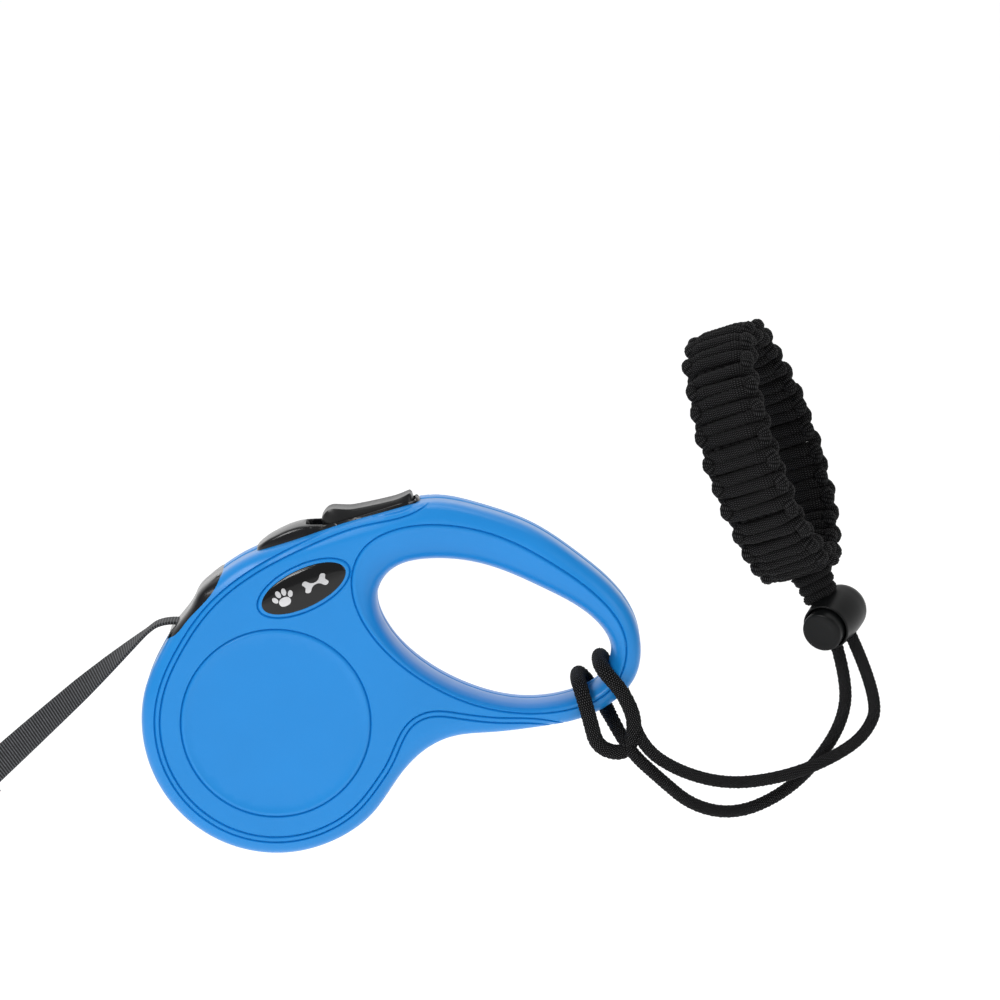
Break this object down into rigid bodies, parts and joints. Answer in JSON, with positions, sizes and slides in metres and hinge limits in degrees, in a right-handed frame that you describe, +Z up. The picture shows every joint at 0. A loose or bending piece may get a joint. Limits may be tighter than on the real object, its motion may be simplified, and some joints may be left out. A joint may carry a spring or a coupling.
{
  "type": "retractable leash",
  "caption": "Hand-held retractable pet leash: spring reel in a housing with a closed grip, thumb brake, flat belt with snap hook and a woven wrist strap.",
  "frame": {"origin": "middle of the grip opening, between the two housing halves", "axes": "+X from the reel towards the grip's end, +Y from the left side of the housing to the right side, +Z up with the leash held as in use"},
  "size_m": [0.3475, 0.0644, 0.2084],
  "materials": {
    "blue_shell": "satin moulded",
    "black_gloss": "gloss moulded",
    "black_matte": "fine matte grain",
    "button_soft": "satin",
    "inner_plastic": "natural moulded",
    "screw_steel": "zinc plated",
    "pin_steel": "ground",
    "spring_steel": "blued",
    "belt_web": "ribbed webbing",
    "cord_black": "braided cord",
    "hook_chrome": "polished",
    "emblem": "domed gloss"
  },
  "bodies": {
    "housing": {"left_housing": "blue_shell", "right_housing": "blue_shell", "tape_nozzle": "black_gloss", "housing_screws": "screw_steel", "left_badge": "emblem", "right_badge": "emblem", "button_bezel": "black_gloss", "lever_pin": "pin_steel", "reel_axle": "pin_steel", "free_tape": "belt_web", "strap_cord": "cord_black", "cord_lock_body": "black_matte", "cord_lock_spring": "spring_steel", "bracelet_weave": "cord_black", "bracelet_collar": "cord_black"},
    "reel": {"reel_drum": "inner_plastic", "reel_cover": "inner_plastic", "wound_tape": "belt_web", "power_spring": "spring_steel"},
    "lock_slide": {"lock_slider": "inner_plastic", "brake_spring": "spring_steel"},
    "button": {"brake_button": "button_soft"},
    "lever": {"brake_lever": "inner_plastic"},
    "tape_end": {"tape_end_sleeve": "black_matte", "swivel_eye": "hook_chrome"},
    "hook": {"hook_body": "hook_chrome", "hook_spring": "spring_steel"},
    "bolt": {"hook_bolt": "hook_chrome"},
    "plunger": {"cord_lock_plunger": "black_matte"}
  },
  "joints": [
    {"name": "reel_spin", "type": "hinge", "parent": "housing", "child": "reel", "pos_m": [-0.08, 0, -0.055], "axis": [0, 1, 0], "range_deg": [0, 120], "deforming": ["power_spring"]},
    {"name": "tape_retract", "type": "slide", "parent": "housing", "child": "tape_end", "axis": [0.7385, 0, 0.6743], "range_m": [0, 0.0578], "deforming": ["free_tape"]},
    {"name": "lock_slide", "type": "slide", "parent": "housing", "child": "lock_slide", "axis": [-0.954, 0, -0.2999], "range_m": [0, 0.0035]},
    {"name": "brake_press", "type": "slide", "parent": "lock_slide", "child": "button", "axis": [0.2999, 0, -0.954], "range_m": [0, 0.0025], "stiffness_N_per_m": 600, "springref_m": -0.001, "deforming": ["brake_spring"]},
    {"name": "brake_lever", "type": "hinge", "parent": "housing", "child": "lever", "pos_m": [-0.04128, 0, 0.00356], "axis": [0, 1, 0], "range_deg": [-7.55, 0]},
    {"name": "hook_swivel", "type": "hinge", "parent": "tape_end", "child": "hook", "pos_m": [-0.1931, 0, -0.09146], "axis": [-0.7385, 0, -0.6743], "continuous": true},
    {"name": "bolt_pull", "type": "slide", "parent": "hook", "child": "bolt", "axis": [0.7385, 0, 0.6743], "range_m": [0, 0.0055], "stiffness_N_per_m": 400, "springref_m": -0.002, "deforming": ["hook_spring"]},
    {"name": "cord_lock_press", "type": "slide", "parent": "housing", "child": "plunger", "axis": [0.4211, 0.8521, 0.3108], "range_m": [0, 0.003], "stiffness_N_per_m": 800, "springref_m": -0.002, "deforming": ["cord_lock_spring"]}
  ],
  "couplings": [
    {"joint": "reel_spin", "follows": "tape_retract", "rad_per_m": 36.232},
    {"joint": "brake_lever", "follows": "brake_press", "rad_per_m": -52.331}
  ]
}
